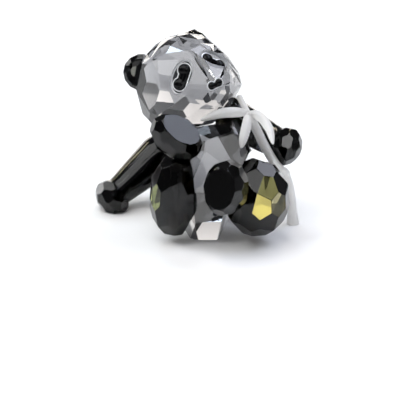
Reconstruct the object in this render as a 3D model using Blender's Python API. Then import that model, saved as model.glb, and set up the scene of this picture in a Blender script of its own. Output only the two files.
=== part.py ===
"""Cut-crystal panda figurine that leans back on one arm and holds a frosted bamboo branch.

Every crystal is a convex blank whose flat facets are cut one plane at a time, ring by ring,
as a cutting machine does. Neighbouring crystals share a flat seat with a glue line between
them. Lengths are in millimetres and angles in degrees until the finished mesh is scaled to
metres. +X is the viewer's right, -Y is the front and +Z is up.
"""
import math

import bmesh
import bpy
from mathutils import Matrix, Vector

MM = 0.001

# Glue lines and small clearances
GLUE_GAP = 0.3
WELD = 0.002
SLIVER = 0.01

# A raw block is this many times as wide as the crystal that is cut from it
BLOCK_SHARE = 4.0

# Curved faces are drawn smooth up to these angles between neighbouring faces
ARM_SMOOTH_ANGLE = 25.0
BAMBOO_SMOOTH_ANGLE = 35.0
STONE_SMOOTH_ANGLE = 40.0

# Body: an egg that leans back, with a flat belly and a flat underside
BODY_CENTRE = Vector((-0.5, -2.0, 13.0))
BODY_HALF = Vector((23.5, 25.0, 32.0))
BODY_LEAN = 28.0
BELLY_LOW = Vector((0.0, -26.8, 11.0))
BELLY_SLOPE = 50.0
BELLY_TURN = -4.0
CHEST_LOW = Vector((3.3, -3.7, 38.7))
CHEST_SLOPE = 22.0
CHEST_TURN = -38.0
BASE_HALF_WIDTH = 18.5
BASE_HALF_DEPTH = 20.0
BASE_FLARE = 33.5
BASE_FACETS = 12
BODY_ROWS = ((8.0, 8, 0.0), (38.0, 8, 0.5), (-22.0, 8, 0.0))

# A facet is cut a little below the surface of its blank, so that its corners stay on it
FACET_DEPTH = 0.965

# Head: longer from nose to nape than it is wide, turned, lifted and tilted
HEAD_CENTRE = Vector((-9.5, 17.0, 54.9))
HEAD_HALF = Vector((20.8, 22.0, 20.4))
HEAD_TURN = 22.0
HEAD_LIFT = 18.2
HEAD_TILT = 17.5
HEAD_ROWS = ((90.0, 1, 0.0), (62.0, 8, 0.0), (34.0, 12, 0.5), (8.0, 12, 0.0),
             (-18.0, 12, 0.5), (-44.0, 10, 0.0), (-68.0, 6, 0.5))
MUZZLE_CENTRE = Vector((0.0, -17.2, -4.0))
MUZZLE_HALF = Vector((11.5, 12.5, 9.0))
MUZZLE_ROWS = ((90.0, 1, 0.0), (62.0, 6, 0.5), (36.0, 9, 0.0))
CHEEK_CENTRE = Vector((0.0, 0.0, -5.0))
CHEEK_HALF = Vector((22.0, 19.0, 15.0))
TEMPLE_AIM = Vector((0.90, -0.23, 0.36))
TEMPLE_REACH = 18.6
NECK_POINT = Vector((-5.0, 11.0, 38.2))
NECK_LEAN = 15.0
NECK_TILT = -10.0

# Ears: thick bevelled discs, cut flat where they meet the head
EAR_RADIUS = 7.6
EAR_THICKNESS = 5.6
EAR_BEVEL = 1.5
EAR_SIDE = 13.4
EAR_BACK = 9.0
EAR_RISE = 11.4
EAR_SEAT = 19.5
EAR_TURN = 28.0
EAR_SIDES = 14

# Legs: each thigh is an upright oval and each foot an oval with one broad sole
RIGHT_THIGH_CENTRE = Vector((-14.2, -21.0, 20.0))
RIGHT_THIGH_HALF = Vector((8.9, 10.5, 16.8))
LEFT_THIGH_CENTRE = Vector((18.5, -21.0, 18.8))
LEFT_THIGH_HALF = Vector((11.2, 14.5, 15.5))
THIGH_ROWS = ((90.0, 1, 0.0), (56.0, 6, 0.5), (28.0, 9, 0.0), (2.0, 9, 0.5), (-30.0, 8, 0.0),
              (-60.0, 6, 0.5))
RIGHT_THIGH_AXIS = Vector((-0.75, -0.62, 0.1))
LEFT_THIGH_AXIS = Vector((0.62, -0.75, 0.05))
RIGHT_THIGH_SEAT = Vector((0.97, 0.24, 0.0))
LEFT_THIGH_SEAT = Vector((-0.93, 0.23, 0.28))
RIGHT_THIGH_SEAT_AT = 6.6
LEFT_THIGH_SEAT_AT = 9.4

RIGHT_FOOT_CENTRE = Vector((-13.2, -22.0, 44.4))
RIGHT_FOOT_HALF = Vector((10.8, 7.8, 8.2))
RIGHT_FOOT_AXIS = Vector((0.40, -0.54, 0.74))
RIGHT_FOOT_LONG = Vector((0.76, -0.10, -0.62))
RIGHT_ANKLE = Vector((-14.0, -21.0, 36.2))
RIGHT_ANKLE_NORMAL = Vector((0.05, -0.08, 1.0))
LEFT_FOOT_CENTRE = Vector((5.8, -40.0, 29.8))
LEFT_FOOT_HALF = Vector((10.6, 8.1, 11.5))
LEFT_FOOT_AXIS = Vector((-0.34, -0.90, 0.27))
LEFT_FOOT_LONG = Vector((0.10, 0.25, 0.95))
LEFT_ANKLE_SHARE = 0.60
FOOT_ROWS = ((54.0, 8, 0.5), (28.0, 10, 0.0), (2.0, 10, 0.5), (-32.0, 8, 0.0), (-62.0, 5, 0.5))
SOLE_DEPTH = 0.66

# Arms: a round tapered shaft with a faceted paw at its end
ARM_LENGTH = 27.0
ARM_SHOULDER_RADIUS = 9.3
ARM_WRIST_RADIUS = 5.7
ARM_SIDES = 40
PAW_RADIUS = 7.9
PAW_LENGTH = 6.6
PAW_BACK = 4.2
PAW_ROWS = ((90.0, 1, 0.0), (52.0, 6, 0.5), (22.0, 8, 0.0), (-12.0, 8, 0.5), (-40.0, 8, 0.0))
RIGHT_PAW = Vector((-41.2, 13.8, 5.7))
RIGHT_ARM_DIRECTION = Vector((0.72, 0.40, 0.53))
LEFT_PAW = Vector((30.8, 2.0, 32.4))
LEFT_ARM_DIRECTION = Vector((-0.82, 0.49, 0.28))
RIGHT_ARM_SEAT = Vector((-0.80, 0.60, 0.1))
RIGHT_ARM_SEAT_AT = 17.5
LEFT_ARM_SEAT = Vector((0.78, 0.52, 0.35))
LEFT_ARM_SEAT_AT = 21.0
SHOULDER_SEAT = 18.6

# Bamboo: a stem from the mouth to the ground, with a joint where three leaves spring
STEM_RADIUS = 1.9
TWIG_RADIUS = 1.25
STEM_FOOT_RADIUS = 2.7
NODE_SWELL = 1.28
STEM_JOINT = Vector((15.2, -1.5, 47.8))
TWIG_TIP = Vector((11.9, 6.0, 52.4))
STEM_ROUTE = (STEM_JOINT, Vector((18.6, -2.4, 41.5)), Vector((22.0, -3.0, 34.6)),
              Vector((26.6, -2.8, 26.6)), Vector((31.4, -2.4, 20.4)), Vector((33.6, -2.6, 11.0)),
              Vector((34.6, -2.0, 0.0)))
STEM_NODE_AT = 0.62
STEM_NODE_LENGTH = 0.02
STEM_FLARE_AT = 0.86
STEM_FOOT_GAP = 0.02
STEM_STEPS = 40
TWIG_STEPS = 6
STEM_SIDES_LEVEL = 2
LEAF_WIDTH = 5.0
LEAF_THICKNESS = 1.9
LEAF_TAPER = 0.25
LEAF_FACING = Vector((0.25, -1.0, 0.35))
LEAF_STEPS = 48
LEAF_SIDES = 12
LEAF_ROUTES = {
    "chin": (STEM_JOINT, Vector((10.2, -6.0, 49.4)), Vector((3.6, -8.6, 49.6)),
             Vector((-4.0, -8.6, 46.8))),
    "belly": (STEM_JOINT, Vector((14.8, -6.5, 44.8)), Vector((13.4, -10.5, 40.4)),
              Vector((12.4, -12.5, 36.4))),
    "paw": (STEM_JOINT, Vector((19.8, -5.0, 47.4)), Vector((23.2, -12.0, 44.6)),
            Vector((24.7, -18.5, 40.0))),
}

# Eyes and nose: polished black stones; each eye lies in a ground oval pocket, the nose on a
# flat facet of the muzzle
EYE_SIDE = 8.0
EYE_RISE = 5.0
EYE_SEAT_DEPTH = 0.915
EYE_LOBE_RADIUS = 2.65
EYE_LOBE_SPREAD = 6.0
EYE_WAIST_RADIUS = 2.1
EYE_WAIST_SHIFT = 0.5
EYE_SLANT = 40.0
EYE_THICKNESS = 2.1
EYE_RIM = 1.5
POCKET_SIDES = 32
STONE_SIDES = 20
NOSE_RISE = -2.4
NOSE_LOBE_RADIUS = 1.65
NOSE_LOBE_SPREAD = 3.3
NOSE_WAIST_RADIUS = 1.2
NOSE_WAIST_SHIFT = 0.3
NOSE_SLANT = 90.0
NOSE_THICKNESS = 1.4


def clear_scene():
    """Remove every object, so that the script starts from an empty scene."""
    for old in list(bpy.data.objects):
        bpy.data.objects.remove(old, do_unlink=True)


def make_material(name, colour, roughness, transmission=0.0, ior=1.55):
    """A Principled material with plain values."""
    material = bpy.data.materials.new(name)
    material.use_nodes = True
    shader = material.node_tree.nodes["Principled BSDF"]
    shader.inputs["Base Color"].default_value = (*colour, 1.0)
    shader.inputs["Roughness"].default_value = roughness
    shader.inputs["Transmission Weight"].default_value = transmission
    shader.inputs["IOR"].default_value = ior
    material.diffuse_color = (*colour, 1.0)
    return material


def axis_frame(axis, aside=Vector((0.0, 0.0, 1.0))):
    """A rotation whose +Z is the axis and whose +X lies nearest to the direction aside."""
    up = axis.normalized()
    side = (aside - up * aside.dot(up)).normalized()
    return Matrix((side, up.cross(side), up)).transposed()


def head_frame():
    """The head's rotation: -Y is the way it faces and +Z its crown."""
    return (Matrix.Rotation(math.radians(HEAD_TURN), 3, "Z")
            @ Matrix.Rotation(math.radians(-HEAD_LIFT), 3, "X")
            @ Matrix.Rotation(math.radians(-HEAD_TILT), 3, "Y"))


def ring_directions(rows):
    """Unit directions of the facets in each ring of (latitude, count, phase)."""
    for latitude, count, phase in rows:
        rise = math.radians(latitude)
        for index in range(count):
            turn = math.tau * (index + phase) / count
            yield Vector((math.cos(rise) * math.cos(turn), math.cos(rise) * math.sin(turn),
                          math.sin(rise)))


def cut(mesh, point, normal):
    """Slice away what lies beyond a plane and close the cut with one flat facet."""
    everything = mesh.verts[:] + mesh.edges[:] + mesh.faces[:]
    result = bmesh.ops.bisect_plane(mesh, geom=everything, dist=WELD, plane_co=point,
                                    plane_no=normal, clear_outer=True)
    rim = [item for item in result["geom_cut"] if isinstance(item, bmesh.types.BMEdge)
           and len(item.link_faces) == 1]
    if rim:
        bmesh.ops.edgeloop_fill(mesh, edges=rim)


def ellipsoid_normal(half, frame, direction):
    """Outward normal of an ellipsoid at a direction of its unit sphere."""
    return frame @ Vector(b / a for a, b in zip(half, direction)).normalized()


def ellipsoid_reach(centre, frame, half, normal):
    """How far an ellipsoid reaches from the origin along a normal."""
    across = frame.transposed() @ normal
    return centre.dot(normal) + FACET_DEPTH * math.hypot(*(a * b for a, b in zip(across, half)))


def facet_blank(mesh, blanks, centre, frame, half, rows):
    """Cut rings of facets, each of which clears every blank that the crystal holds."""
    for direction in ring_directions(rows):
        normal = ellipsoid_normal(half, frame, direction)
        cut(mesh, normal * max(ellipsoid_reach(*blank, normal) for blank in blanks), normal)


def facet_ellipsoid(mesh, centre, frame, half, rows):
    """Cut rings of facets round one ellipsoid."""
    facet_blank(mesh, ((centre, frame, half),), centre, frame, half, rows)


def block_blank(centre, half):
    """A cube of raw crystal to be cut on every side."""
    mesh = bmesh.new()
    bmesh.ops.create_cube(mesh, size=BLOCK_SHARE * max(half))
    bmesh.ops.translate(mesh, verts=mesh.verts, vec=centre)
    return mesh


def seat(point, normal):
    """A glue seat: the plane's point and its normal, which points to the outer crystal."""
    return point, normal.normalized()


def cut_inner(mesh, joint):
    """Cut the crystal that lies behind a seat."""
    point, normal = joint
    cut(mesh, point - normal * GLUE_GAP / 2, normal)


def cut_outer(mesh, joint):
    """Cut the crystal that lies in front of a seat."""
    point, normal = joint
    cut(mesh, point + normal * GLUE_GAP / 2, -normal)


def slope_normal(slope, turn=0.0):
    """Normal of a facet that faces the front and rises towards the back at a slope."""
    rise = math.radians(slope)
    return Matrix.Rotation(math.radians(turn), 3, "Z") @ Vector((0.0, -math.sin(rise),
                                                                math.cos(rise)))


def weld(mesh):
    """Merge points that lie together and drop slivers, so that the mesh stays closed."""
    bmesh.ops.dissolve_degenerate(mesh, edges=mesh.edges, dist=SLIVER)
    bmesh.ops.remove_doubles(mesh, verts=mesh.verts, dist=WELD)
    bmesh.ops.recalc_face_normals(mesh, faces=mesh.faces)


def finish(mesh, name, material, collection, smooth_angle=None):
    """Weld, scale to metres and link a crystal as an object of its own."""
    weld(mesh)
    bmesh.ops.scale(mesh, verts=mesh.verts, vec=(MM, MM, MM))
    data = bpy.data.meshes.new(name)
    mesh.to_mesh(data)
    mesh.free()
    if smooth_angle:
        data.shade_smooth()
        data.set_sharp_from_angle(angle=math.radians(smooth_angle))
    data.materials.append(material)
    piece = bpy.data.objects.new(name, data)
    collection.objects.link(piece)
    return piece


def stem_seat(centre):
    """The seat where a crystal with this centre touches the bamboo's stem."""
    nearest = min(smooth_route(STEM_ROUTE, STEM_STEPS), key=lambda point: (point - centre).length)
    outward = (centre - nearest).normalized()
    return seat(nearest + outward * (STEM_RADIUS + GLUE_GAP / 2), outward)


def make_seats():
    """Every glue seat between two crystals, by the name of the outer one."""
    head_turned = head_frame()
    neck = (Matrix.Rotation(math.radians(NECK_TILT), 3, "Y")
            @ Matrix.Rotation(math.radians(-NECK_LEAN), 3, "X") @ Vector((0.0, 0.0, 1.0)))
    seats = {
        "head": seat(NECK_POINT, neck),
        "right_thigh": seat(RIGHT_THIGH_CENTRE
                            + RIGHT_THIGH_SEAT.normalized() * RIGHT_THIGH_SEAT_AT,
                            -RIGHT_THIGH_SEAT),
        "left_thigh": seat(LEFT_THIGH_CENTRE + LEFT_THIGH_SEAT.normalized() * LEFT_THIGH_SEAT_AT,
                           -LEFT_THIGH_SEAT),
        "right_foot": seat(RIGHT_ANKLE, RIGHT_ANKLE_NORMAL),
        "left_foot": seat(LEFT_THIGH_CENTRE.lerp(LEFT_FOOT_CENTRE, LEFT_ANKLE_SHARE),
                          LEFT_FOOT_CENTRE - LEFT_THIGH_CENTRE),
        "right_arm": seat(BODY_CENTRE + RIGHT_ARM_SEAT.normalized() * RIGHT_ARM_SEAT_AT,
                          RIGHT_ARM_SEAT),
        "left_arm": seat(BODY_CENTRE + LEFT_ARM_SEAT.normalized() * LEFT_ARM_SEAT_AT,
                         LEFT_ARM_SEAT),
        "left_arm_stem": stem_seat(LEFT_PAW),
    }
    shoulder = LEFT_PAW + LEFT_ARM_DIRECTION.normalized() * ARM_LENGTH
    to_shoulder = (shoulder - HEAD_CENTRE).normalized()
    seats["left_arm_head"] = seat(HEAD_CENTRE + to_shoulder * SHOULDER_SEAT, to_shoulder)
    for name, side in (("right_", -1.0), ("left_", 1.0)):
        outward = Vector((side * EAR_SIDE, EAR_BACK, EAR_RISE)).normalized()
        seats[name + "ear"] = seat(HEAD_CENTRE + head_turned @ outward * EAR_SEAT,
                                   head_turned @ outward)
        depth = math.sqrt(1 - (EYE_SIDE / HEAD_HALF.x) ** 2 - (EYE_RISE / HEAD_HALF.z) ** 2)
        gaze = Vector((side * EYE_SIDE, -HEAD_HALF.y * depth, EYE_RISE))
        outward = Vector(b / a ** 2 for a, b in zip(HEAD_HALF, gaze)).normalized()
        seats[name + "eye"] = seat(HEAD_CENTRE + head_turned @ gaze * EYE_SEAT_DEPTH,
                                   head_turned @ outward)
    tip = Vector((0.0, MUZZLE_CENTRE.y - MUZZLE_HALF.y * FACET_DEPTH, NOSE_RISE))
    seats["nose"] = seat(HEAD_CENTRE + head_turned @ tip, head_turned @ Vector((0.0, -1.0, 0.0)))
    return seats


def make_body(seats):
    """The clear body: a leaning egg with belly, chest, base and glue seats."""
    lean = Matrix.Rotation(math.radians(-BODY_LEAN), 3, "X")
    mesh = block_blank(BODY_CENTRE, BODY_HALF)
    cut(mesh, Vector((0.0, 0.0, 0.0)), Vector((0.0, 0.0, -1.0)))
    facet_ellipsoid(mesh, BODY_CENTRE, lean, BODY_HALF, BODY_ROWS)
    cut(mesh, BELLY_LOW, slope_normal(BELLY_SLOPE, BELLY_TURN))
    cut(mesh, CHEST_LOW, slope_normal(CHEST_SLOPE, CHEST_TURN))
    for index in range(BASE_FACETS):
        turn = math.tau * index / BASE_FACETS
        reach = math.hypot(BASE_HALF_WIDTH * math.sin(turn), BASE_HALF_DEPTH * math.cos(turn))
        outward = Vector((math.sin(turn), -math.cos(turn), 0.0))
        normal = outward * math.cos(math.radians(BASE_FLARE))
        normal.z = -math.sin(math.radians(BASE_FLARE))
        cut(mesh, outward * reach, normal)
    for name in ("head", "right_thigh", "left_thigh", "right_arm", "left_arm"):
        cut_inner(mesh, seats[name])
    return mesh


def make_head(seats):
    """The clear head, with a faceted muzzle and flat seats for neck, ears and stones."""
    turned = head_frame()
    mesh = block_blank(HEAD_CENTRE, HEAD_HALF)
    muzzle_turned = turned @ axis_frame(Vector((0.0, -1.0, 0.0)), Vector((1.0, 0.0, 0.0)))
    muzzle_half = Vector((MUZZLE_HALF.x, MUZZLE_HALF.z, MUZZLE_HALF.y))
    skull = (HEAD_CENTRE, turned, HEAD_HALF)
    cheeks = (HEAD_CENTRE + turned @ CHEEK_CENTRE, turned, CHEEK_HALF)
    muzzle = (HEAD_CENTRE + turned @ MUZZLE_CENTRE, muzzle_turned, muzzle_half)
    blanks = (skull, cheeks, muzzle)
    facet_blank(mesh, blanks, *skull, HEAD_ROWS)
    facet_blank(mesh, blanks, *muzzle, MUZZLE_ROWS)
    for side in (-1.0, 1.0):
        aim = turned @ Vector((TEMPLE_AIM.x * side, TEMPLE_AIM.y, TEMPLE_AIM.z)).normalized()
        cut(mesh, HEAD_CENTRE + aim * TEMPLE_REACH, aim)
    cut_outer(mesh, seats["head"])
    for name in ("right_ear", "left_ear", "nose", "left_arm_head"):
        cut_inner(mesh, seats[name])
    for name, side in (("right_eye", -1.0), ("left_eye", 1.0)):
        mesh = join_meshes(mesh, make_pocket(side, seats[name]), "pocket", "DIFFERENCE")
    return mesh


def make_ear(side, ear_seat):
    """A bevelled disc of dark crystal that stands on its seat on the head."""
    turned = head_frame()
    outward = Vector((side * EAR_SIDE, EAR_BACK, EAR_RISE)).normalized()
    centre = HEAD_CENTRE + turned @ (outward * EAR_SEAT)
    facing = turned @ Matrix.Rotation(math.radians(side * EAR_TURN), 3, "Z") @ Vector((0, -1, 0))
    mesh = bmesh.new()
    bmesh.ops.create_cone(mesh, cap_ends=True, segments=EAR_SIDES, radius1=EAR_RADIUS,
                          radius2=EAR_RADIUS, depth=EAR_THICKNESS)
    rims = [edge for edge in mesh.edges
            if len(edge.link_faces) == 2 and any(len(face.verts) > 4 for face in edge.link_faces)]
    bmesh.ops.bevel(mesh, geom=rims, offset=EAR_BEVEL, segments=1, profile=0.5, affect="EDGES",
                    material=-1)
    frame = axis_frame(facing)
    place = Matrix.Translation(centre) @ frame.to_4x4()
    bmesh.ops.transform(mesh, matrix=place, verts=mesh.verts)
    cut_outer(mesh, ear_seat)
    return mesh


def make_thigh(centre, half, axis, seats, own, foot):
    """An upright dark oval, faceted round the axis that points away from the body."""
    mesh = block_blank(centre, half)
    frame = axis_frame(axis)
    across = [math.hypot(*(a * b for a, b in zip(half, column)))
              for column in (frame.col[0], frame.col[1], frame.col[2])]
    facet_ellipsoid(mesh, centre, frame, Vector(across), THIGH_ROWS)
    cut_outer(mesh, seats[own])
    cut_inner(mesh, seats[foot])
    return mesh


def make_foot(centre, half, axis, long_way, ankle):
    """A dark oval with one broad flat sole."""
    mesh = block_blank(centre, half)
    frame = axis_frame(axis, long_way)
    facet_ellipsoid(mesh, centre, frame, half, FOOT_ROWS)
    sole = frame @ Vector((0.0, 0.0, 1.0))
    cut(mesh, centre + sole * half.z * SOLE_DEPTH, sole)
    cut_outer(mesh, ankle)
    return mesh


def make_paw(centre, frame):
    """The faceted end of an arm, flat where the shaft enters it."""
    half = Vector((PAW_RADIUS, PAW_RADIUS, PAW_LENGTH))
    mesh = block_blank(centre, half)
    facet_ellipsoid(mesh, centre, frame, half, PAW_ROWS)
    back = frame @ Vector((0.0, 0.0, -1.0))
    cut(mesh, centre + back * PAW_BACK, back)
    return mesh


def keep_hull(mesh):
    """Replace a mesh by the convex hull of its points."""
    bmesh.ops.delete(mesh, geom=mesh.edges, context="EDGES_FACES")
    bmesh.ops.convex_hull(mesh, input=mesh.verts)
    loose = [vertex for vertex in mesh.verts if not vertex.link_faces]
    bmesh.ops.delete(mesh, geom=loose, context="VERTS")


def make_shaft(centre, frame):
    """The smooth shaft of an arm: the hull of its wrist and its round shoulder."""
    mesh = bmesh.new()
    shoulder = Matrix.Translation(centre - frame @ Vector((0.0, 0.0, ARM_LENGTH)))
    bmesh.ops.create_uvsphere(mesh, u_segments=ARM_SIDES, v_segments=ARM_SIDES // 2,
                              radius=ARM_SHOULDER_RADIUS, matrix=shoulder @ frame.to_4x4())
    bmesh.ops.create_circle(mesh, segments=ARM_SIDES, radius=ARM_WRIST_RADIUS,
                            matrix=Matrix.Translation(centre) @ frame.to_4x4())
    keep_hull(mesh)
    return mesh


def join_meshes(first, second, name, operation="UNION"):
    """The Boolean of two closed meshes, as one new mesh in millimetres."""
    objects = []
    for suffix, part in (("_a", first), ("_b", second)):
        weld(part)
        data = bpy.data.meshes.new(name + suffix)
        part.to_mesh(data)
        part.free()
        piece = bpy.data.objects.new(name + suffix, data)
        bpy.context.scene.collection.objects.link(piece)
        objects.append(piece)
    join = objects[0].modifiers.new("Join", "BOOLEAN")
    join.operation = operation
    join.solver = "EXACT"
    join.object = objects[1]
    evaluated = objects[0].evaluated_get(bpy.context.evaluated_depsgraph_get())
    joined = bmesh.new()
    joined.from_mesh(bpy.data.meshes.new_from_object(evaluated))
    for piece in objects:
        bpy.data.objects.remove(piece, do_unlink=True)
    return joined


def make_arm(name, paw, direction, seats):
    """One arm: shaft and paw in one crystal, cut flat on the body, the ground and the stem."""
    frame = axis_frame(-direction)
    mesh = join_meshes(make_shaft(paw, frame), make_paw(paw, frame), name)
    for joint in (name, name + "_head", name + "_stem"):
        if joint in seats:
            cut_outer(mesh, seats[joint])
    cut(mesh, Vector((0.0, 0.0, 0.0)), Vector((0.0, 0.0, -1.0)))
    return mesh


def smooth_route(points, steps):
    """Points on one smooth curve through the route's own points."""
    ends = [points[0] * 2 - points[1], *points, points[-1] * 2 - points[-2]]
    spans = len(points) - 1
    curve = []
    for step in range(steps + 1):
        along = spans * step / steps
        index = min(int(along), spans - 1)
        t = along - index
        a, b, c, d = ends[index:index + 4]
        curve.append(0.5 * ((2 * b) + (c - a) * t + (2 * a - 5 * b + 4 * c - d) * t * t
                            + (3 * b - 3 * c + d - a) * t ** 3))
    return curve


def tube(name, points, radii):
    """A closed tube along points, made a mesh in millimetres."""
    data = bpy.data.curves.new(name, "CURVE")
    data.dimensions = "3D"
    data.bevel_depth = 1.0
    data.bevel_resolution = STEM_SIDES_LEVEL
    data.use_fill_caps = True
    spline = data.splines.new("POLY")
    spline.points.add(len(points) - 1)
    for target, point, radius in zip(spline.points, points, radii):
        target.co = (*point, 1.0)
        target.radius = radius
    guide = bpy.data.objects.new(name, data)
    bpy.context.scene.collection.objects.link(guide)
    evaluated = guide.evaluated_get(bpy.context.evaluated_depsgraph_get())
    mesh = bmesh.new()
    mesh.from_mesh(bpy.data.meshes.new_from_object(evaluated))
    bmesh.ops.remove_doubles(mesh, verts=mesh.verts, dist=WELD)
    bpy.data.objects.remove(guide, do_unlink=True)
    return mesh


def make_stem():
    """The bamboo's stem, with a swollen ring at its node and a flared foot."""
    points = smooth_route(STEM_ROUTE, STEM_STEPS)
    radii = []
    for step in range(STEM_STEPS + 1):
        along = step / STEM_STEPS
        swell = math.exp(-((along - STEM_NODE_AT) / STEM_NODE_LENGTH) ** 2) * (NODE_SWELL - 1)
        share = max(0.0, (along - STEM_FLARE_AT) / (1 - STEM_FLARE_AT))
        flare = (STEM_FOOT_RADIUS - STEM_RADIUS) * share ** 2
        radii.append(STEM_RADIUS * (1 + swell) + flare)
    mesh = tube("stem", points, radii)
    cut(mesh, Vector((0.0, 0.0, STEM_FOOT_GAP)), Vector((0.0, 0.0, -1.0)))
    return mesh


def make_leaf(route):
    """A long leaf: a flattened ball drawn to a tip and bent along its route."""
    mesh = bmesh.new()
    bmesh.ops.create_uvsphere(mesh, u_segments=LEAF_SIDES, v_segments=LEAF_SIDES + 2, radius=1.0)
    centres = smooth_route(route, LEAF_STEPS)
    for vertex in mesh.verts:
        along = min(max((vertex.co.z + 1) / 2, 0.0), 1.0)
        place = along * LEAF_STEPS
        index = min(int(place), LEAF_STEPS - 1)
        centre = centres[index].lerp(centres[index + 1], place - index)
        forward = (centres[index + 1] - centres[index]).normalized()
        side = forward.cross(LEAF_FACING).normalized()
        thick = side.cross(forward).normalized()
        fullness = 1.0 - LEAF_TAPER * along
        vertex.co = (centre + side * vertex.co.x * LEAF_WIDTH / 2 * fullness
                     + thick * vertex.co.y * LEAF_THICKNESS / 2)
    bmesh.ops.recalc_face_normals(mesh, faces=mesh.faces)
    return mesh


def make_bamboo():
    """The whole branch as one frosted piece."""
    branch = make_stem()
    points = smooth_route((STEM_JOINT, STEM_JOINT.lerp(TWIG_TIP, 0.5), TWIG_TIP), TWIG_STEPS)
    twig = tube("twig", points, [TWIG_RADIUS] * len(points))
    branch = join_meshes(branch, twig, "twig")
    for name, route in LEAF_ROUTES.items():
        branch = join_meshes(branch, make_leaf(route), name)
    return branch


def place_on_seat(mesh, stone_seat):
    """Move a mesh made round +Z to its seat on the face, its X towards the crown."""
    point, normal = stone_seat
    frame = axis_frame(normal, head_frame() @ Vector((0.0, 0.0, 1.0)))
    bmesh.ops.transform(mesh, matrix=Matrix.Translation(point) @ frame.to_4x4(),
                        verts=mesh.verts)


def make_pocket(side, stone_seat):
    """The cutter of an eye's flat-bottomed oval pocket, wider than the stone by the rim."""
    mesh = bmesh.new()
    reach = min(HEAD_HALF)
    bmesh.ops.create_cone(mesh, cap_ends=True, segments=POCKET_SIDES, depth=reach,
                          radius1=1.0, radius2=1.0)
    width = EYE_LOBE_RADIUS + EYE_RIM
    bmesh.ops.scale(mesh, verts=mesh.verts, vec=(width + EYE_LOBE_SPREAD / 2, width, 1.0))
    bmesh.ops.translate(mesh, verts=mesh.verts, vec=(0.0, 0.0, (reach - GLUE_GAP) / 2))
    slant = Matrix.Rotation(math.radians(EYE_SLANT * side), 3, "Z")
    bmesh.ops.rotate(mesh, verts=mesh.verts, matrix=slant)
    place_on_seat(mesh, stone_seat)
    return mesh


def make_ball(radius, thickness, along, aside):
    """A flattened ball beside the origin."""
    mesh = bmesh.new()
    bmesh.ops.create_uvsphere(mesh, u_segments=STONE_SIDES, v_segments=STONE_SIDES // 2,
                              radius=1.0)
    bmesh.ops.scale(mesh, verts=mesh.verts, vec=(radius, radius, thickness))
    bmesh.ops.translate(mesh, verts=mesh.verts, vec=(along, aside, 0.0))
    return mesh


def make_waist(radius, thickness, spread, aside):
    """The stretch between two lobes: the hull of two smaller flattened balls."""
    mesh = make_ball(radius, thickness, spread / 2, aside)
    other = bmesh.ops.duplicate(mesh, geom=mesh.verts[:] + mesh.edges[:] + mesh.faces[:])
    moved = [item for item in other["geom"] if isinstance(item, bmesh.types.BMVert)]
    bmesh.ops.translate(mesh, verts=moved, vec=(-spread, 0.0, 0.0))
    keep_hull(mesh)
    return mesh


def make_stone(stone_seat, radius, spread, waist, shift, slant, thickness):
    """A polished peanut of two lobes, with a flat back that lies on its seat on the face."""
    mesh = make_ball(radius, thickness, spread / 2, 0.0)
    for part in (make_ball(radius, thickness, -spread / 2, 0.0),
                 make_waist(waist, thickness * waist / radius, spread, shift)):
        mesh = join_meshes(mesh, part, "stone")
    turn = Matrix.Rotation(math.radians(slant), 3, "Z")
    bmesh.ops.rotate(mesh, verts=mesh.verts, matrix=turn)
    place_on_seat(mesh, stone_seat)
    cut_outer(mesh, stone_seat)
    return mesh


def build_panda():
    """Make every crystal of the figurine."""
    clear_scene()
    collection = bpy.data.collections.new("panda_figurine")
    bpy.context.scene.collection.children.link(collection)
    clear = make_material("clear crystal", (0.92, 0.93, 0.95), 0.02, 1.0)
    dark = make_material("smoky black crystal", (0.03, 0.03, 0.028), 0.03, 0.4)
    frosted = make_material("frosted crystal", (0.80, 0.81, 0.83), 0.45, 0.6)
    onyx = make_material("polished black glass", (0.005, 0.005, 0.006), 0.04)
    seats = make_seats()
    finish(make_body(seats), "body", clear, collection)
    finish(make_head(seats), "head", clear, collection)
    for name, side in (("right_ear", -1.0), ("left_ear", 1.0)):
        finish(make_ear(side, seats[name]), name, dark, collection)
    finish(make_thigh(RIGHT_THIGH_CENTRE, RIGHT_THIGH_HALF, RIGHT_THIGH_AXIS, seats,
                      "right_thigh", "right_foot"), "right_thigh", dark, collection)
    finish(make_thigh(LEFT_THIGH_CENTRE, LEFT_THIGH_HALF, LEFT_THIGH_AXIS, seats,
                      "left_thigh", "left_foot"), "left_thigh", dark, collection)
    finish(make_foot(RIGHT_FOOT_CENTRE, RIGHT_FOOT_HALF, RIGHT_FOOT_AXIS, RIGHT_FOOT_LONG,
                     seats["right_foot"]), "right_foot", dark, collection)
    finish(make_foot(LEFT_FOOT_CENTRE, LEFT_FOOT_HALF, LEFT_FOOT_AXIS, LEFT_FOOT_LONG,
                     seats["left_foot"]), "left_foot", dark, collection)
    for name, paw, direction in (("right_arm", RIGHT_PAW, RIGHT_ARM_DIRECTION),
                                 ("left_arm", LEFT_PAW, LEFT_ARM_DIRECTION)):
        finish(make_arm(name, paw, direction, seats), name, dark, collection,
               ARM_SMOOTH_ANGLE)
    finish(make_bamboo(), "bamboo_branch", frosted, collection, BAMBOO_SMOOTH_ANGLE)
    for name, side in (("right_eye", -1.0), ("left_eye", 1.0)):
        finish(make_stone(seats[name], EYE_LOBE_RADIUS, EYE_LOBE_SPREAD, EYE_WAIST_RADIUS,
                          EYE_WAIST_SHIFT * side, EYE_SLANT * side, EYE_THICKNESS),
               name, onyx, collection, STONE_SMOOTH_ANGLE)
    finish(make_stone(seats["nose"], NOSE_LOBE_RADIUS, NOSE_LOBE_SPREAD, NOSE_WAIST_RADIUS,
                      NOSE_WAIST_SHIFT, NOSE_SLANT, NOSE_THICKNESS),
           "nose", onyx, collection, STONE_SMOOTH_ANGLE)


build_panda()
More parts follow.
